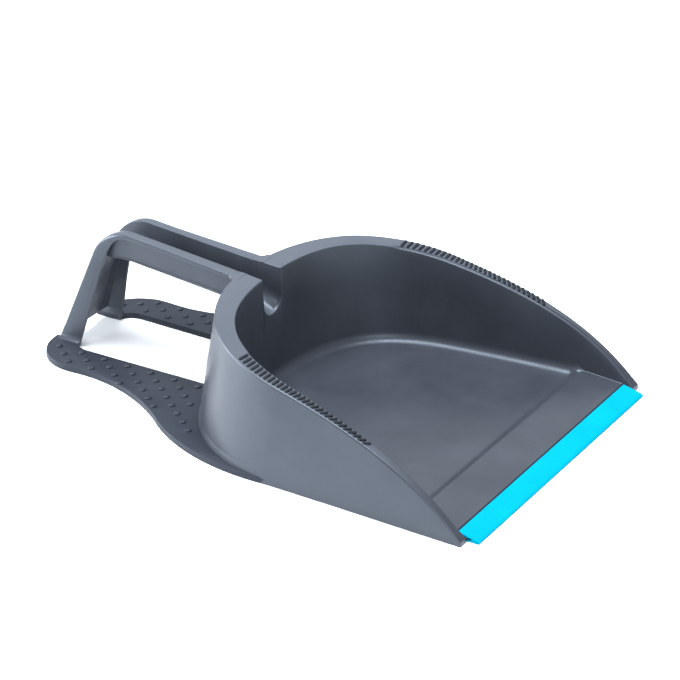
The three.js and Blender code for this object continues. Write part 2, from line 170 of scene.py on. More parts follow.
# Depths below the outer line, on the handle and on the leg.
TROUGH_DEPTH = (21.5, 2.0)
UNDERSIDE_DEPTH = (24, 4.5)
FLANGE_DEPTH = (2.5, 4.2)
EDGE_DEPTH = (3.2, 9.9)
EDGE_GROWTH = 0.094
# How sharply each depth goes round the corner.
TROUGH_SHARPNESS, FLANGE_SHARPNESS, EDGE_SHARPNESS = 40, 12, 4
# The rounding of the outer edges, on the handle and on the leg.
OUTER_ROUND = (3.0, 1.6)
EDGE_WALL = 2.2
WEB_WALL = 2.3
CROSS_BOTTOM = 8.5
# How far a face stays inside the one that it carries on, so that the two never coincide.
HANDLE_SINK = 0.05
LEG_SINK = 0.03

# ---------- driving dimensions of the foot plates and the lip, in millimetres ----------

PLATE_EDGE_ROUND = 0.9
PLATE_OUTER = [
    (136, 114.6), (185, 121.5), (226, 106), (252, 84), (272, 68.6), (300, 56.5), (326, 56.5), (332, 56.5),
    (337, 57.2), (342, 57.2), (355, 57.2), (374, 47), (374, 24),
]
PLATE_INNER = [(357, 22.4), (353, 26), (352, 31.5), (343, 31.5)]
PLATE_ENDS = [(374, 22.4)]
PLATE_HIDDEN_INSET = 5
PLATE_HIDDEN_PLACES = (0.19, 1.1)
# Rows of grip bumps: how many rows out, and the first and last step forwards.
BUMP_ROWS = [
    (0, -1, 5), (1, -0.5, 4.5), (2, 0, 5), (3, 2.5, 5.5), (4, 4, 5), (5, 4.5, 5.5), (6, 6, 6), (7, 6.5, 6.5),
]
BUMP_PITCH = 18.7
BUMP_ROW_STEP = 7.5
FIRST_BUMP = (343.4, 36.8)
BUMP_RADIUS = 2.3
BUMP_HEIGHT = 1.3
BUMP_FULLNESS = 0.6
BUMP_TURNS = (-0.15, 0, 0.35, 0.7, 1.05, 1.35)
ROUND_SIDES = 20

# The lip's section: back, height, the corner's radius and its number of points.
LIP_PROFILE = [
    (LIP_DEPTH, 5.0, 0.5, 4), (1.2, 1.9, 1.5, 4), (0, 1.1, 0.5, 4), (0, 0.2, 0.1, 2), (0.6, 0, 0.1, 2),
    (LIP_DEPTH, 0, 0.2, 2), (LIP_DEPTH, 0.9, 0, 1), (5.7, 0.9, 0, 1), (5.7, 2.7, 0, 1),
    (LIP_DEPTH, 2.7, 0, 1),
]
LIP_END = 0.4
LIP_END_SHRINK = 0.35
LIP_SLICES = 23

# ---------- how meshes are finished ----------

# The comb teeth get a nearly black copy of the body's plastic, as painted shade.
BODY_FINISH, PLATE_FINISH, COMB_PAINTED_SHADE = range(3)
WELD_DISTANCE = 1e-6
SHORTEST_EDGE = 1e-7
SHARP_ANGLE = math.radians(32)


# ---------- small helpers ----------

def chain_points(controls, t):
    """Points on a chain of cubic curves, at places along it."""
    controls = np.asarray(controls, float)
    t = np.atleast_1d(np.asarray(t, float))
    first = np.clip(np.floor(t).astype(int), 0, (len(controls) - 4) // 3)
    s = (t - first)[:, None]
    a, b, c, d = (controls[3 * first + k] for k in range(4))
    return (1 - s) ** 3 * a + 3 * s * (1 - s) ** 2 * b + 3 * s ** 2 * (1 - s) * c + s ** 3 * d


def outward(controls, t):
    """Unit normals of a chain, seen from above, away from the bowl."""
    step = 1e-3
    low = np.clip(t - step, 0, None)
    along = chain_points(controls, np.minimum(t + step, CHAIN_END)) - chain_points(controls, low)
    along /= np.linalg.norm(along, axis=1)[:, None]
    normal = np.stack([along[:, 1], -along[:, 0]], axis=1)
    normal[t == 0] = (1, 0)
    return normal


def looked_up(place, rows):
    """A value read from rows of (place, value), along straight lines between them."""
    places, values = zip(*rows)
    return np.interp(place, places, values)


def smooth_between(value, low, high):
    """0 below the low end, 1 above the high end, and a soft step between them."""
    s = np.clip((value - low) / (high - low), 0, 1)
    return s * s * (3 - 2 * s)


def flare(place, root, radius):
    """How far a round fillet stands out at a place. It is as wide as its radius at its root."""
    inside = np.clip(1 - (place - root) / radius, 0, 1)
    return radius * (1 - np.sqrt(1 - inside ** 2))


def round_corner(before, corner, after, radius, count):
    """Points on an arc that replaces one corner in each loop. It takes less than half of either side."""
    largest_share, tiny, almost_one = 0.45, 1e-9, 0.9999
    before = before - corner
    after = after - corner
    before_length = np.maximum(np.linalg.norm(before, axis=1), tiny)
    after_length = np.maximum(np.linalg.norm(after, axis=1), tiny)
    before /= before_length[:, None]
    after /= after_length[:, None]
    half = np.arccos(np.clip((before * after).sum(1), -almost_one, almost_one)) / 2
    reach = np.minimum(radius / np.tan(half), largest_share * np.minimum(before_length, after_length))
    start = (corner + before * reach[:, None])[:, None]
    end = (corner + after * reach[:, None])[:, None]
    s = np.linspace(0, 1, count)[None, :, None]
    middle_weight = 2 * s * (1 - s) * np.sin(half)[:, None, None]
    total = (1 - s) ** 2 + middle_weight + s ** 2
    return ((1 - s) ** 2 * start + middle_weight * corner[:, None] + s ** 2 * end) / total


def rounded_loops(corners):
    """Closed loops with round corners. Each corner has its points, one per loop, a radius and a count."""
    columns = []
    for k, (corner, radius, count) in enumerate(corners):
        if count == 1:
            columns.append(corner[:, None])
            continue
        before = corners[k - 1][0]
        after = corners[(k + 1) % len(corners)][0]
        columns.append(round_corner(before, corner, after, radius, count))
    return np.concatenate(columns, axis=1)


class Shells:
    """Collects closed shells of points and faces, and makes one mesh of them."""

    def __init__(self):
        self.points = []
        self.faces = []
        self.finishes = []
        self.finish = BODY_FINISH

    def add(self, points):
        """Adds points given as (back, side, height) and returns the number of the first one."""
        first = len(self.points)
        for back, side, height in points:
            self.points.append(((FRONT - back) * MM, side * MM, height * MM))
        return first

    def face(self, corners):
        """Adds a face, without the corners that repeat the one before."""
        distinct = [int(c) for i, c in enumerate(corners) if c != corners[i - 1]]
        if len(distinct) > 2:
            self.faces.append(distinct)
            self.finishes.append(self.finish)

    def strip(self, row, other):
        """Joins two rows of points with quads."""
        for j in range(len(row) - 1):
            self.face([row[j], row[j + 1], other[j + 1], other[j]])

    def loft(self, loops, closed=True):
        """Joins loops (loops x points x 3) with quads, caps both ends, and returns the points' numbers."""
        count, size = loops.shape[:2]
        first = self.add(loops.reshape(-1, 3))
        index = np.arange(first, first + count * size).reshape(count, size)
        rows = [[*row, row[0]] if closed else row for row in index]
        for i in range(count - 1):
            self.strip(rows[i], rows[i + 1])
        self.face(index[0])
        self.face(index[-1])
        return index

    def build(self, name, materials, nodes):
        """Makes the mesh and its object, and ties the object to the frame."""
        mesh = bpy.data.meshes.new(name)
        mesh.from_pydata(self.points, [], self.faces)
        mesh.polygons.foreach_set("material_index", self.finishes)
        edit = bmesh.new()
        edit.from_mesh(mesh)
        bmesh.ops.remove_doubles(edit, verts=edit.verts, dist=WELD_DISTANCE)
        bmesh.ops.dissolve_degenerate(edit, edges=edit.edges, dist=SHORTEST_EDGE)
        bmesh.ops.recalc_face_normals(edit, faces=edit.faces)
        edit.to_mesh(mesh)
        edit.free()
        mesh.polygons.foreach_set("use_smooth", [True] * len(mesh.polygons))
        mesh.set_sharp_from_angle(angle=SHARP_ANGLE)
        for material in materials:
            mesh.materials.append(material)
        piece = bpy.data.objects.new(name, mesh)
        bpy.context.scene.collection.objects.link(piece)
        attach(piece, "root")
        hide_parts(*nodes)
        return piece


# ---------- the bowl ----------

def rim_height(back):
    profile = chain_points(RIM_PROFILE, np.linspace(0, CHAIN_END, COARSE_SAMPLES))
    return np.interp(back, profile[::-1, 0], profile[::-1, 1])


def floor_height(back):
    """The floor's height, with its breaks rounded off; it steps down under the lip."""
    around = np.linspace(-FLOOR_BREAK_ROUND, FLOOR_BREAK_ROUND, 9)
    height = np.mean([looked_up(back + shift, FLOOR_PROFILE) for shift in around], axis=0)
    return np.where(back < LIP_DEPTH, TONGUE_TOP, height)


def scoop_height(side, half_width, rise):
    """The round bottom of the notch."""
    across = np.clip(np.abs(side) / half_width, 0, 1)
    return NOTCH_BOTTOM + rise + half_width * (1 - np.sqrt(1 - across ** 2))


def rim_places():
    """Close places along the rim's inner curve, and the points there."""
    places = np.linspace(0, CHAIN_END, FINE_SAMPLES)
    return places, chain_points(RIM_INNER, places)


def place_at_side(side):
    """The place on the rim's inner curve at a distance from the middle plane, for the rear wall only."""
    places, points = rim_places()
    rear = places < REAR_END
    return float(np.interp(side, points[rear, 1], places[rear]))


def place_at_back(back):
    """The place on the rim's inner curve at a distance behind the lip's front edge."""
    places, points = rim_places()
    return float(np.interp(-back, -points[:, 0], places))


def outer_place(t):
    """The rim's outer curve runs slower near the notch, so that the notch's sides are straight."""
    inner = chain_points(RIM_INNER, [NOTCH_PLACE])[0, 1]
    outer = chain_points(RIM_OUTER, [NOTCH_PLACE])[0, 1]
    slow = inner / outer * NOTCH_OUTER_HALF_WIDTH / NOTCH_HALF_WIDTH
    return t * (slow + (1 - slow) * smooth_between(t, *NOTCH_BLEND))


def bowl_stations():
    """Where the bowl's left half is sliced, from the middle of the rear wall to the tip.

    The columns are the place on the rim's curves, how far the rim's edge is rounded down there, and
    whether the wall and the hollow in it lie under the notch."""
    quarter = math.pi / 2
    rows = []
    for turn in np.linspace(0, quarter, 13):
        rows.append((place_at_side(NOTCH_HALF_WIDTH * math.sin(turn)), 0, 1, 1))
    for turn in np.linspace(0, quarter, 5):
        away = NOTCH_EDGE_ROUND * (1 - math.cos(turn))
        drop = NOTCH_EDGE_ROUND * (1 - math.sin(turn))
        rows.append((place_at_side(NOTCH_HALF_WIDTH + away), drop, 0, 1))
    wall_end = place_at_side(NOTCH_HALF_WIDTH + NOTCH_WALL)
    rows.append((wall_end, 0, 0, 1))
    rows.append((wall_end, 0, 0, 0))
    after_notch = place_at_side(NOTCH_HALF_WIDTH + NOTCH_WALL + 1.5)
    rear = np.arange(after_notch, place_at_back(COMB_REAR + 2), REAR_STEP)
    comb = [place_at_back(back) for back in np.arange(COMB_REAR + 1, LIP_DEPTH + 0.6, -COMB_STEP)]
    tip = [place_at_back(back) for back in TIP_SLICES]
    for place in (*rear, *comb, *tip):
        rows.append((place, 0, 0, 0))
    return np.array(rows, float).T


class BowlSlices:
    """Slices of the bowl's left half, each from the floor over the rim to the foot and back inside."""

    def __init__(self):
        place, self.drop, notched, hollow_notched = bowl_stations()
        outer_places = outer_place(place)
        self.inner = chain_points(RIM_INNER, place)
        self.inner_normal = outward(RIM_INNER, place)
        self.outer = chain_points(RIM_OUTER, outer_places)
        self.outer_normal = outward(RIM_OUTER, outer_places)
        self.foot = chain_points(SKIRT_FOOT, outer_places)
        self.foot_normal = outward(SKIRT_FOOT, outer_places)
        self.edge = self.inner - self.inner_normal * FLOOR_INSET
        self.back = self.edge[:, 0]
        self.floor = floor_height(self.back)
        self.inner_rim = rim_height(self.inner[:, 0])
        self.outer_rim = rim_height(self.outer[:, 0])
        self.set_tops(notched > 0, hollow_notched > 0)
        down_skirt = ((self.outer_rim - self.outer_top) / self.outer_rim)[:, None]
        self.shoulder = self.outer + (self.foot - self.outer) * down_skirt
        self.in_front = smooth_between(-self.back, -RIDGE_BACK - RIDGE_BLEND, -RIDGE_BACK + RIDGE_BLEND)

    def set_tops(self, notched, hollow_notched):
        """Heights of the wall and of the hollow in it, which are lower under the notch."""
        inner = self.inner_rim - NOTCH_EDGE_DROP * self.drop
        outer = self.outer_rim - NOTCH_EDGE_DROP * self.drop
        self.inner_top = np.where(notched, scoop_height(self.inner[:, 1], NOTCH_HALF_WIDTH, 0), inner)
        scoop = scoop_height(self.outer[:, 1], NOTCH_OUTER_HALF_WIDTH, NOTCH_RISE)
        self.outer_top = np.where(notched, scoop, outer)
        widening = (NOTCH_HALF_WIDTH + NOTCH_WALL) / NOTCH_HALF_WIDTH
        below = scoop_height(self.inner[:, 1] / widening, NOTCH_HALF_WIDTH, 0) - WALL
        hollow_inner = np.where(hollow_notched, below, np.maximum(inner - WALL, LEAST_HOLLOW))
        hollow_outer = np.where(hollow_notched, below + NOTCH_RISE, np.maximum(outer - WALL, LEAST_HOLLOW))
        self.hollow_inner = np.minimum(hollow_inner, self.inner_top - LEAST_ROOF)
        self.hollow_outer = np.minimum(hollow_outer, self.outer_top - LEAST_ROOF)

    def corner(self, plan, height, radius=0, count=1):
        """One corner of every slice, from its point seen from above and its height."""
        return np.column_stack([plan, np.broadcast_to(height, len(plan))]), radius, count

    def floor_end(self, height):
        margin = FLOOR_MARGIN - (FLOOR_MARGIN - FRONT_MARGIN) * self.in_front
        return self.corner(self.edge - self.inner_normal * margin[:, None], height)

    def ledge_height(self):
        """The ledge inside the rim, along the comb; behind the comb and at the tip it fades out."""
        depth = LEDGE_DEPTH * smooth_between(-self.inner[:, 0], -COMB_REAR - LEDGE_START, -COMB_REAR)
        return self.inner_top - (LEAST_LEDGE + depth) * smooth_between(self.inner[:, 0], *LEDGE_FADE)

    def inside(self):
        """The bowl's inside, up to the ledge. Its middle corner stays below the notch."""
        whole = np.maximum(self.inner_rim - self.floor, LEAST_WALL)
        low = self.floor + LOW_CORNER_SHARE * (self.inner_top - self.floor)
        low = np.minimum(NOTCH_BOTTOM - LOW_CORNER_GAP, low)
        lean = self.inner - self.edge
        fillet = FLOOR_FILLET + (FRONT_FILLET - FLOOR_FILLET) * self.in_front
        low_plan = self.edge + lean * ((low - self.floor) / whole)[:, None]
        top_plan = self.edge + lean * ((self.inner_top - self.floor) / whole)[:, None]
        top_plan = top_plan + self.inner_normal * self.drop[:, None]
        return [
            self.corner(self.edge, self.floor, fillet, 8),
            self.corner(low_plan, low),
            self.corner(top_plan, self.ledge_height(), 1.2, 5),
        ]

    def rim(self):
        """The step from the ledge up to the rim, and the rim's outer edge."""
        step = self.inner + self.inner_normal * LEDGE_WIDTH
        return [
            self.corner(step, self.ledge_height(), 0.3, 2),
            self.corner(step, self.inner_top, 0.3, 2),
            self.corner(self.shoulder, self.outer_top, 1.3, 6),
        ]

    def skirt(self):
        """The outside, down to its foot, which flares out in the rear."""
        flare_top = np.minimum(SKIRT_FLARE_TOP, self.outer_top * SKIRT_FLARE_TOP_SHARE)
        flare_width = SKIRT_FLARE * smooth_between(self.foot[:, 0], *SKIRT_FLARE_BACKS)
        share = (1 - flare_top / np.maximum(self.outer_rim, 1))[:, None]
        return [
            self.corner(self.outer + (self.foot - self.outer) * share, flare_top, 7, 5),
            self.corner(self.foot + self.foot_normal * flare_width[:, None], 0, 0.4, 3),
            self.corner(self.foot - self.foot_normal * SKIRT_WALL, 0),
        ]

    def hollow(self):
        """The hollow between the double walls, which is open below."""
        below_floor = np.where(self.back < LIP_DEPTH, TONGUE_BOTTOM, FLOOR_BOTTOM)
        return [
            self.corner(self.shoulder - self.outer_normal * WALL, self.hollow_outer, 0.6, 2),
            self.corner(self.inner + self.inner_normal * WALL, self.hollow_inner, 0.6, 2),
            self.corner(self.edge + self.inner_normal * WALL, below_floor, 1, 2),
            self.floor_end(below_floor),
        ]

    def loops(self):
        outside = self.rim() + self.skirt() + self.hollow()
        return rounded_loops([self.floor_end(self.floor)] + self.inside() + outside)


def floor_row(shells, loops, index, low, high, column):
    """Numbers of the points in a row across the floor, between a slice and its mirror image."""
    start, end = loops[low, column], loops[high, column]
    shares = np.linspace(0, 1, FLOOR_STEPS + 1)[1:-1, None]
    first = shells.add(start + (end - start) * shares)
    return [index[low, column], *range(first, first + FLOOR_STEPS - 1), index[high, column]]


def add_bowl(shells):
    """The walls, then the floor's top and underside: one flat face each, and rows of quads in front."""
    left = BowlSlices().loops()
    right = left * (1, -1, 1)
    loops = np.concatenate([right[::-1], left[1:]])
    index = shells.loft(loops, closed=False)
    middle = len(left) - 1
    flat = int(np.argmax(left[:, 0, 0] < FLOOR_FLAT_BACK))
    top_and_bottom = (0, -1)
    previous = []
    for column in top_and_bottom:
        border = index[middle - flat:middle + flat + 1, column]
        shells.face(border)
        previous.append([border[0]] + [border[-1]] * FLOOR_STEPS)
    for i in range(flat + 1, len(left)):
        rows = [floor_row(shells, loops, index, middle - i, middle + i, column) for column in top_and_bottom]
        for row, before in zip(rows, previous):
            shells.strip(row, before)
        previous = rows
    shells.strip(*previous)


# ---------- the comb teeth ----------

def tooth_axes(back):
    """The rim's inner point, its width, and the directions across it, along it and up."""
    places = [place_at_back(back + shift) for shift in (-1, 0, 1)]
    inner, outer = chain_points(RIM_INNER, places), chain_points(RIM_OUTER, places)
    inner = np.column_stack([inner, rim_height(inner[:, 0])])
    outer = np.column_stack([outer, rim_height(outer[:, 0])])
    across = outer[1] - inner[1]
    width = np.linalg.norm(across)
    across /= width
    along = outer[0] + inner[0] - outer[2] - inner[2]
    along -= across * (along @ across)
    along /= np.linalg.norm(along)
    up = np.cross(across, along)
    up *= np.sign(up[2])
    return inner[1], width, across, along, up


def add_tooth(shells, back, side):
    """A long rounded tooth across the rim, from its inner ledge almost to its outer edge."""
    inner, width, across, along, up = tooth_axes(back)
    middle = inner + across * (TOOTH_INNER + width - TOOTH_OUTER) / 2
    straight = (width - TOOTH_INNER - TOOTH_OUTER - TOOTH_WIDTH) / 2
    around = np.linspace(0, 2 * math.pi, ROUND_SIDES, endpoint=False)
    loops = []
    for width_share, height_share in TOOTH_PROFILE:
        radius = width_share * TOOTH_WIDTH / 2
        reach = np.sign(np.cos(around)) * straight + radius * np.cos(around)
        loop = middle + np.outer(reach, across) + np.outer(radius * np.sin(around), along)
        loops.append((loop + up * height_share * TOOTH_HEIGHT) * (1, side, 1))
    shells.loft(np.stack(loops))


def add_comb(shells, side):
    for back in np.linspace(COMB_REAR, COMB_FRONT, COMB_COUNT):
        add_tooth(shells, back, side)


# ---------- the handle and the leg ----------

class HandlePath:
    """Stations along the outer line of the handle and the leg, with a round corner between them.

    Each station has a point (back, height), the direction that depth is measured in, the angle turned
    so far, and how far it lies before the corner or after it."""

    def __init__(self):
        self.turn = math.pi / 2 + HANDLE_SLOPE - LEG_LEAN
        heading = np.array([math.cos(HANDLE_SLOPE), math.sin(HANDLE_SLOPE)])
        leg_heading = np.array([math.sin(LEG_LEAN), -math.cos(LEG_LEAN)])
        away = np.array([LEG_FOOT - HANDLE_START, -HANDLE_HEIGHT])
        cross = heading[0] * leg_heading[1] - heading[1] * leg_heading[0]
        run = (away[0] * leg_heading[1] - away[1] * leg_heading[0]) / cross
        run -= CORNER_RADIUS * math.tan(self.turn / 2)
        bend = np.array([HANDLE_START, HANDLE_HEIGHT]) + heading * run
        centre = bend + np.array([heading[1], -heading[0]]) * CORNER_RADIUS
        self.rows = []
        self.add_handle(bend[0])
        up = np.array([-heading[1], heading[0]])
        for angle in np.linspace(0, self.turn, CORNER_SLICES):
            out = up * math.cos(angle) + heading * math.sin(angle)
            self.rows.append((*(centre + out * CORNER_RADIUS), *-out, angle, 0, 0))
        self.add_leg(self.rows[-1][1])
        columns = np.array(self.rows, float).T
        self.back, self.height, self.depth_back, self.depth_height = columns[:4]
        self.angle, self.before, self.after = columns[4:]
        self.on_handle = self.angle <= 0
        self.on_leg = (self.angle >= self.turn) & (self.after > 0)

    def add_handle(self, bend):
        """Upright sections, which start inside the rear wall, turn square to the handle's slope."""
        middle = np.arange(HANDLE_SLICE_START, bend - 3, HANDLE_STEP)
        for back in (*ROOT_SLICES, *FILLET_SLICES, *middle, bend - 3, bend - 1):
            tilt = float(smooth_between(back, *TILT_BACKS)) * HANDLE_SLOPE
            climb = max(back - HANDLE_START, 0) * math.tan(HANDLE_SLOPE)
            before = (bend - back) / math.cos(HANDLE_SLOPE)
            height = HANDLE_HEIGHT - HANDLE_SINK + climb
            self.rows.append((back, height, math.sin(tilt), -math.cos(tilt), 0, before, 0))

    def add_leg(self, top):
        """Sections square to the leg at its top turn level at its foot."""
        square = np.array([-math.cos(LEG_LEAN), -math.sin(LEG_LEAN)])
        level = np.array([-1 / math.cos(LEG_LEAN), 0])
        near_corner = top - np.array(LEG_TOP_SLICES)
        middle = np.linspace(top - 10, CROSS_BOTTOM + 6, 7)
        lower = np.linspace(CROSS_BOTTOM + 5, CROSS_BOTTOM, 6)
        square_height, level_height = LEG_LEVEL_HEIGHTS
        for height in np.concatenate([near_corner, middle, lower]):
            flat = float(smooth_between(-height, -square_height, -level_height))
            depth = square * (1 - flat) + level * flat
            after = (top - height) / math.cos(LEG_LEAN)
            self.rows.append((LEG_FOOT - height * math.tan(LEG_LEAN), height, *depth, self.turn, 0, after))

    def depth(self, pair, sharpness):
        """A depth that changes from its value on the handle to its value on the leg round the corner."""
        handle_depth, leg_depth = pair
        least = 0.05
        sine = math.sin(self.turn)
        off_handle = np.maximum(np.cos(self.angle), least)
        off_leg = np.maximum(np.cos(self.turn - self.angle), least)
        to_handle = (CORNER_RADIUS - handle_depth + self.after * sine) / off_handle
        to_leg = (CORNER_RADIUS - leg_depth + self.before * sine) / off_leg
        nearest = np.minimum(to_handle, to_leg)
        blend = (nearest / to_handle) ** sharpness + (nearest / to_leg) ** sharpness
        return CORNER_RADIUS - nearest * blend ** (-1 / sharpness)


def leg_half_width(height):
    """The leg spreads downwards, and flares out in a fillet where it meets the plate."""
    return looked_up(height, LEG_HALF_WIDTH) + flare(height, *LEG_FILLET)


def band_inside(height):
    """The inner face of the leg's side bands."""
    return looked_up(height, LEG_HALF_WIDTH) - EDGE_WALL


def band_growth(height):
    """The leg's side bands get deeper towards the ground."""
    return EDGE_GROWTH * (LEG_HALF_WIDTH[1][0] - height)


def handle_depths(path):
    """Depths of the trough, the underside, the flanges and the edges below the outer line."""
    trough = path.depth(TROUGH_DEPTH, TROUGH_SHARPNESS)
    underside = np.maximum(path.depth(UNDERSIDE_DEPTH, TROUGH_SHARPNESS), trough + WALL)
    underside += np.where(path.on_handle, flare(path.back, *UNDERSIDE_FILLET), 0)
    share = path.angle / path.turn
    least_flange = np.interp(share, [0, 1], FLANGE_DEPTH)
    flange = np.maximum(path.depth(FLANGE_DEPTH, FLANGE_SHARPNESS), least_flange)
    edge = path.depth(EDGE_DEPTH, EDGE_SHARPNESS)
    edge += np.where(path.on_leg, band_growth(path.height), 0)
    return trough, underside, flange, edge


def handle_half_width(path):
    """The handle's half width, with a fillet at the rear wall, and the leg's."""
    narrow, leg_top = HANDLE_HALF_WIDTH[-1][1], LEG_HALF_WIDTH[-1][1]
    on_handle = looked_up(path.back, HANDLE_HALF_WIDTH) + flare(path.back, *SIDE_FILLET)
    on_corner = narrow + (leg_top - narrow) * path.angle / path.turn
    half = np.where(path.on_handle, on_handle, on_corner)
    return np.where(path.on_leg, leg_half_width(path.height), half)


def handle_loops():
    """Sections through the handle and the leg: a hollow channel with a slot on top and flanged sides."""
    path = HandlePath()
    trough, underside, flange, edge = handle_depths(path)
    half = handle_half_width(path)
    slot = looked_up(path.back, SLOT_HALF_WIDTH)
    bands = np.where(path.on_leg, band_inside(path.height), half - EDGE_WALL)
    web = slot + WEB_WALL + np.where(path.on_handle, flare(path.back, *WEB_FILLET), 0)
    outer_round = np.interp(path.angle / path.turn, [0, 1], OUTER_ROUND)
    corners = [
        (slot, trough, looked_up(path.back, TROUGH_ROUND), 6),
        (slot, 0, 0.5, 3),
        (half, 0, outer_round, 6),
        (half, edge, 0.5, 3),
        (bands, edge, 0.5, 3),
        (bands, flange, 0.8, 3),
        (web, flange, 0.8, 3),
        (web, underside, 7.0, 7),
    ]

    def corner(side, depth, radius, count):
        back = path.back + path.depth_back * depth
        return np.column_stack([back, side, path.height + path.depth_height * depth]), radius, count

    left = [corner(*row) for row in corners]
    right = [corner(-side, *rest) for side, *rest in reversed(corners)]
    return rounded_loops(left + right)


def add_handle(shells):
    shells.loft(handle_loops())


def add_leg_feet(shells):
    """The leg's two side bands go on to the ground below its cross wall."""
    height = np.concatenate([np.linspace(CROSS_BOTTOM + 4, PLATE_TOP, 12), [0.2]])
    back = LEG_FOOT - height * math.tan(LEG_LEAN)
    outer = leg_half_width(np.maximum(height, PLATE_TOP + 0.05)) - LEG_SINK
    inner = band_inside(height) + LEG_SINK
    deep = (EDGE_DEPTH[1] + band_growth(height)) / math.cos(LEG_LEAN) - LEG_SINK
    corners = [
        (inner, LEG_SINK, 0.4, 2),
        (outer, LEG_SINK, 1.4, 5),
        (outer, deep, 0.5, 3),
        (inner, deep, 0.4, 2),
    ]
    for side in (-1, 1):
        shells.loft(rounded_loops([
            (np.column_stack([back - depth, side * across, height]), radius, count)
            for across, depth, radius, count in corners
        ]))


# ---------- the foot plates ----------

def plate_outline():
    """The outer edge, the end at the leg, the inner edge, and the edge hidden under the skirt."""
    outer = chain_points(PLATE_OUTER, np.linspace(0, 4, 65))
    inner = chain_points(PLATE_INNER, np.linspace(0, 1, 9))
    under_skirt = np.linspace(*PLATE_HIDDEN_PLACES, 16)
    hidden = chain_points(SKIRT_FOOT, under_skirt) - PLATE_HIDDEN_INSET * outward(SKIRT_FOOT, under_skirt)
    return np.concatenate([outer, PLATE_ENDS, inner, hidden])


def inset(outline, distance):
    """Moves a closed outline inwards along the normals at its corners. Sharp corners move less far."""
    sharpest = 0.4
    before = outline - np.roll(outline, 1, axis=0)
    after = np.roll(outline, -1, axis=0) - outline
    before /= np.linalg.norm(before, axis=1)[:, None]
    after /= np.linalg.norm(after, axis=1)[:, None]
    first = np.column_stack([before[:, 1], -before[:, 0]])
    second = np.column_stack([after[:, 1], -after[:, 0]])
    middle = first + second
    middle /= np.maximum((middle * first).sum(1), sharpest)[:, None]
    return outline - middle * distance


def add_plate(shells, side):
    """A flat plate with a rounded upper edge."""
    outline = plate_outline()
    area = np.cross(outline, np.roll(outline, -1, axis=0)).sum()
    edge_round = math.copysign(PLATE_EDGE_ROUND, area)
    rings = [(outline, 0)]
    for turn in np.linspace(0, math.pi / 2, 3):
        height = PLATE_TOP - PLATE_EDGE_ROUND * (1 - math.sin(turn))
        rings.append((inset(outline, edge_round * (1 - math.cos(turn))), height))
    shells.loft(np.stack([
        np.column_stack([ring * (1, side), np.full(len(ring), height)]) for ring, height in rings
    ]))


def add_bump(shells, back, side):
    """A low dome."""
    around = np.linspace(0, 2 * math.pi, ROUND_SIDES, endpoint=False)
    loops = []
    for turn in BUMP_TURNS:
        radius = BUMP_RADIUS * math.cos(turn) ** BUMP_FULLNESS
        backs = back + radius * np.cos(around)
        sides = side + radius * np.sin(around)
        height = np.full(ROUND_SIDES, PLATE_TOP + BUMP_HEIGHT * math.sin(turn))
        loops.append(np.column_stack([backs, sides, height]))
    shells.loft(np.stack(loops))


def add_bumps(shells, side):
    for row, first, last in BUMP_ROWS:
        for step in np.arange(first, last + 0.5):
            back = FIRST_BUMP[0] - step * BUMP_PITCH
            add_bump(shells, back, side * (FIRST_BUMP[1] + row * BUMP_ROW_STEP))


# ---------- the lip ----------

def add_lip(shells):
    """One section all the way across, with a slot that the floor's tongue fills, and softened ends."""
    end = LIP_HALF_WIDTH
    sides = np.concatenate([[-end], np.linspace(LIP_END - end, end - LIP_END, LIP_SLICES), [end]])
    shrink = np.where(np.abs(sides) == end, LIP_END_SHRINK, 0)
    corners = []
    for back, height, radius, count in LIP_PROFILE:
        backs = np.clip(np.full(len(sides), back), shrink, LIP_DEPTH - shrink)
        heights = np.maximum(height - shrink * (height > 1), 0)
        corners.append((np.column_stack([backs, sides, heights]), radius, count))
    shells.loft(rounded_loops(corners))


# ---------- materials ----------

def new_material(name):
    material = bpy.data.materials.new(name)
    material.use_nodes = True
    tree = material.node_tree
    return material, tree, tree.nodes["Principled BSDF"]


def noise(tree, scale, stretch=(1, 1, 1), detail=3.0):
    """Noise of a number of cells per metre, stretched along the axes."""
    place = tree.nodes.new("ShaderNodeTexCoord")
    mapping = tree.nodes.new("ShaderNodeMapping")
    mapping.inputs["Scale"].default_value = stretch
    texture = tree.nodes.new("ShaderNodeTexNoise")
    texture.inputs["Scale"].default_value = scale
    texture.inputs["Detail"].default_value = detail
    tree.links.new(place.outputs["Object"], mapping.inputs["Vector"])
    tree.links.new(mapping.outputs["Vector"], texture.inputs["Vector"])
    return texture.outputs["Fac"]


def ramp(tree, source, low_colour, high_colour, ends=(0.3, 0.7)):
    """Fades from one colour to another while the source goes from one end to the other."""
    node = tree.nodes.new("ShaderNodeValToRGB")
    for element, place, colour in zip(node.color_ramp.elements, ends, (low_colour, high_colour)):
        element.position = place
        element.color = (*colour, 1)
    tree.links.new(source, node.inputs["Fac"])
    return node.outputs["Color"]


def bump(tree, height, strength, distance, before=None):
    """Bends the surface normal, on top of an earlier bump if there is one."""
    node = tree.nodes.new("ShaderNodeBump")
    node.inputs["Strength"].default_value = strength
    node.inputs["Distance"].default_value = distance
    tree.links.new(height, node.inputs["Height"])
    if before is not None:
        tree.links.new(before, node.inputs["Normal"])
    return node.outputs["Normal"]


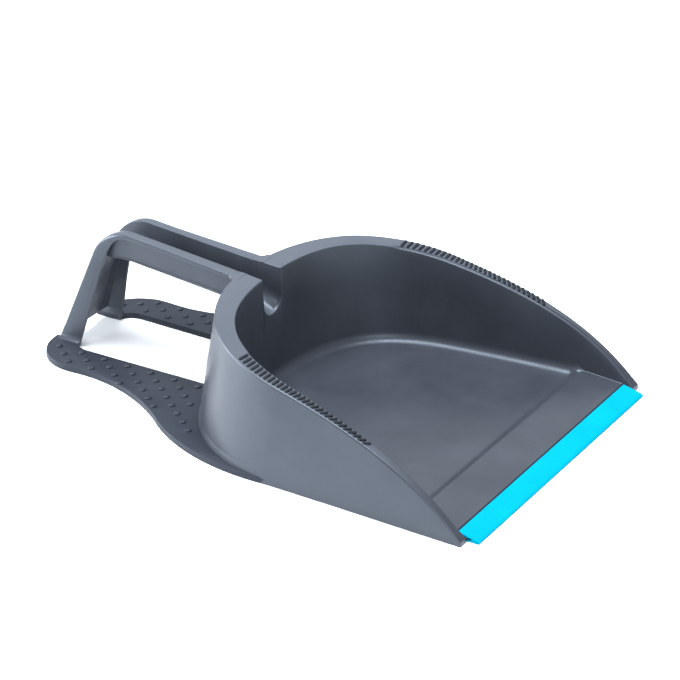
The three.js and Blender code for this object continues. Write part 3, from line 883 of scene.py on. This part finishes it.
def moulded_plastic(name, dark, light, roughness, specular, grain_size, grain_depth):
    """Dark blue-grey polypropylene, with slight cloudiness, flow streaks and a mould grain."""
    material, tree, shader = new_material(name)
    colour = ramp(tree, noise(tree, scale=22, detail=4), dark, light)
    tree.links.new(colour, shader.inputs["Base Color"])
    low, high = roughness
    wear = ramp(tree, noise(tree, scale=60, stretch=(1, 1, 0.25), detail=5), (low,) * 3, (high,) * 3)
    tree.links.new(wear, shader.inputs["Roughness"])
    shader.inputs["Specular IOR Level"].default_value = specular
    shader.inputs["Specular Tint"].default_value = (0.78, 0.88, 1.0, 1)
    flow = noise(tree, scale=750, stretch=(1, 1, 0.03), detail=3)
    streaks = bump(tree, flow, strength=0.3, distance=0.0001)
    grain = bump(tree, noise(tree, grain_size, detail=2), 0.2, grain_depth, streaks)
    tree.links.new(grain, shader.inputs["Normal"])
    return material


def between(tree, source, low, high):
    """0 where a value is under the low end, 1 where it is over the high end."""
    node = tree.nodes.new("ShaderNodeMapRange")
    node.inputs["From Min"].default_value = low
    node.inputs["From Max"].default_value = high
    tree.links.new(source, node.inputs["Value"])
    return node.outputs["Result"]


def top_light_faces(tree):
    """1 on faces that look up and stand well above the ground: the rim and the top of the handle, which get
    the painted top light.
    """
    normal = tree.nodes.new("ShaderNodeSeparateXYZ")
    tree.links.new(tree.nodes.new("ShaderNodeNewGeometry").outputs["Normal"], normal.inputs["Vector"])
    place = tree.nodes.new("ShaderNodeSeparateXYZ")
    tree.links.new(tree.nodes.new("ShaderNodeTexCoord").outputs["Object"], place.inputs["Vector"])
    product = tree.nodes.new("ShaderNodeMath")
    product.operation = "MULTIPLY"
    tree.links.new(between(tree, normal.outputs["Z"], 0.75, 0.95), product.inputs[0])
    tree.links.new(between(tree, place.outputs["Z"], 0.012, 0.035), product.inputs[1])
    return product.outputs["Value"]


def satin_plastic():
    """The bowl, rim and handle. The rim and the handle's top are painted a little lighter, as painted light
    where they face up.
    """
    dark, light, painted_top_light = (0.031, 0.034, 0.043), (0.041, 0.045, 0.056), (0.064, 0.071, 0.086)
    material = moulded_plastic("satin_plastic", dark, light, (0.30, 0.42), 0.5, 2600, 0.00008)
    tree = material.node_tree
    colour = tree.nodes["Principled BSDF"].inputs["Base Color"]
    # Painted light: faces that look up, high on the pan, are mixed to a lighter colour.
    top_light_mix = tree.nodes.new("ShaderNodeMix")
    top_light_mix.data_type = "RGBA"
    top_light_mix.inputs["B"].default_value = (*painted_top_light, 1)
    tree.links.new(top_light_faces(tree), top_light_mix.inputs["Factor"])
    tree.links.new(colour.links[0].from_socket, top_light_mix.inputs["A"])
    tree.links.new(top_light_mix.outputs["Result"], colour)
    return material


def matt_plastic():
    """The finely textured foot plates."""
    dark, light = (0.012, 0.0135, 0.020), (0.018, 0.020, 0.028)
    return moulded_plastic("matt_plastic", dark, light, (0.5, 0.62), 0.35, 1500, 0.00016)


def shaded_comb_plastic():
    """The comb teeth, painted nearly black beside the rim: painted shade for the teeth's shaded faces."""
    dark, light = (0.006, 0.007, 0.010), (0.009, 0.010, 0.014)
    return moulded_plastic("shaded_comb_plastic", dark, light, (0.45, 0.55), 0.3, 1500, 0.00012)


def lip_rubber():
    """Matt cyan soft rubber with a very fine grain."""
    material, tree, shader = new_material("lip_rubber")
    colour = ramp(tree, noise(tree, scale=40), (0.0, 0.28, 0.42), (0.0, 0.31, 0.46))
    tree.links.new(colour, shader.inputs["Base Color"])
    shader.inputs["Roughness"].default_value = 0.8
    shader.inputs["Specular IOR Level"].default_value = 0.03
    grain = bump(tree, noise(tree, scale=3000), strength=0.15, distance=0.00006)
    tree.links.new(grain, shader.inputs["Normal"])
    return material


def floor_paint():
    """Nearly white, with the faintest cloudiness."""
    material, tree, shader = new_material("studio_floor")
    shade = ramp(tree, noise(tree, scale=3), (0.93,) * 3, (0.95,) * 3, ends=(0.2, 0.8))
    tree.links.new(shade, shader.inputs["Base Color"])
    shader.inputs["Roughness"].default_value = 0.9
    return material


# ---------- the studio, in metres ----------

FLOOR_HALF = 6.0
FLOOR_GAP = 0.0002
LIGHT_COLOUR = (0.86, 0.93, 1.0)
SKY_STRENGTH = 0.45
# Each softbox has a name, a place, the point that it is aimed at, its two sides and its power in watts.
SOFTBOXES = [
    ("key", (-2.7, -1.0, 0.8), (0, 0, 0.03), (1.6, 1.0), 150),
    ("fill", (1.2, -1.2, 0.9), (0, 0, 0.03), (1.0, 1.0), 14),
    ("rear", (-1.2, 2.2, 1.6), (0, 0, 0), (2.4, 1.2), 8),
    ("top", (-0.2, -0.1, 3.0), (0, 0, 0), (1.8, 1.8), 210),
]
CAMERA_LENS = 149.24
CAMERA_SENSOR = 36
CAMERA_CLIP = (0.05, 50)
CAMERA_PLACE = (FRONT * MM + 0.679, -1.374, 0.860)
CAMERA_AZIMUTH = math.radians(31.53)
CAMERA_ELEVATION = math.radians(26.82)


def make_floor():
    mesh = bpy.data.meshes.new("studio_floor")
    corners = [(x * FLOOR_HALF, y * FLOOR_HALF, 0) for x, y in ((-1, -1), (1, -1), (1, 1), (-1, 1))]
    mesh.from_pydata(corners, [], [(0, 1, 2, 3)])
    mesh.materials.append(floor_paint())
    floor = bpy.data.objects.new("studio_floor", mesh)
    bpy.context.scene.collection.objects.link(floor)
    floor.location.z = cad_bounds[0][2] - FLOOR_GAP


def face_along(thing, direction):
    """Turns a light or a camera to look in a direction."""
    thing.rotation_euler = direction.to_track_quat("-Z", "Y").to_euler()


def add_softbox(name, place, target, size, power):
    data = bpy.data.lights.new(name, "AREA")
    data.color = LIGHT_COLOUR
    data.shape = "RECTANGLE"
    data.size, data.size_y = size
    data.energy = power
    light = bpy.data.objects.new(name, data)
    light.location = place
    bpy.context.scene.collection.objects.link(light)
    face_along(light, Vector(target) - light.location)


def light_studio():
    world = bpy.data.worlds.new("studio")
    world.use_nodes = True
    background = world.node_tree.nodes["Background"]
    background.inputs["Color"].default_value = (1, 1, 1, 1)
    background.inputs["Strength"].default_value = SKY_STRENGTH
    bpy.context.scene.world = world
    for softbox in SOFTBOXES:
        add_softbox(*softbox)


def make_camera():
    data = bpy.data.cameras.new("camera")
    data.lens = CAMERA_LENS
    data.sensor_width = CAMERA_SENSOR
    data.clip_start, data.clip_end = CAMERA_CLIP
    camera = bpy.data.objects.new("camera", data)
    bpy.context.scene.collection.objects.link(camera)
    camera.location = CAMERA_PLACE
    face_along(camera, Vector((
        -math.sin(CAMERA_AZIMUTH) * math.cos(CAMERA_ELEVATION),
        math.cos(CAMERA_AZIMUTH) * math.cos(CAMERA_ELEVATION),
        -math.sin(CAMERA_ELEVATION),
    )))
    bpy.context.scene.camera = camera


# ---------- build ----------

def build_pan():
    shells = Shells()
    add_bowl(shells)
    add_handle(shells)
    add_leg_feet(shells)
    for side in (-1, 1):
        shells.finish = PLATE_FINISH
        add_plate(shells, side)
        add_bumps(shells, side)
        shells.finish = COMB_PAINTED_SHADE
        add_comb(shells, side)
    nodes = [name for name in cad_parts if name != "lip"]
    materials = [satin_plastic(), matt_plastic(), shaded_comb_plastic()]
    shells.build("pan_moulding", materials, nodes)


def build_lip():
    shells = Shells()
    add_lip(shells)
    shells.build("soft_lip", [lip_rubber()], ["lip"])


make_camera()
light_studio()
make_floor()
build_pan()
build_lip()
bpy.context.scene.view_settings.view_transform = "Standard"
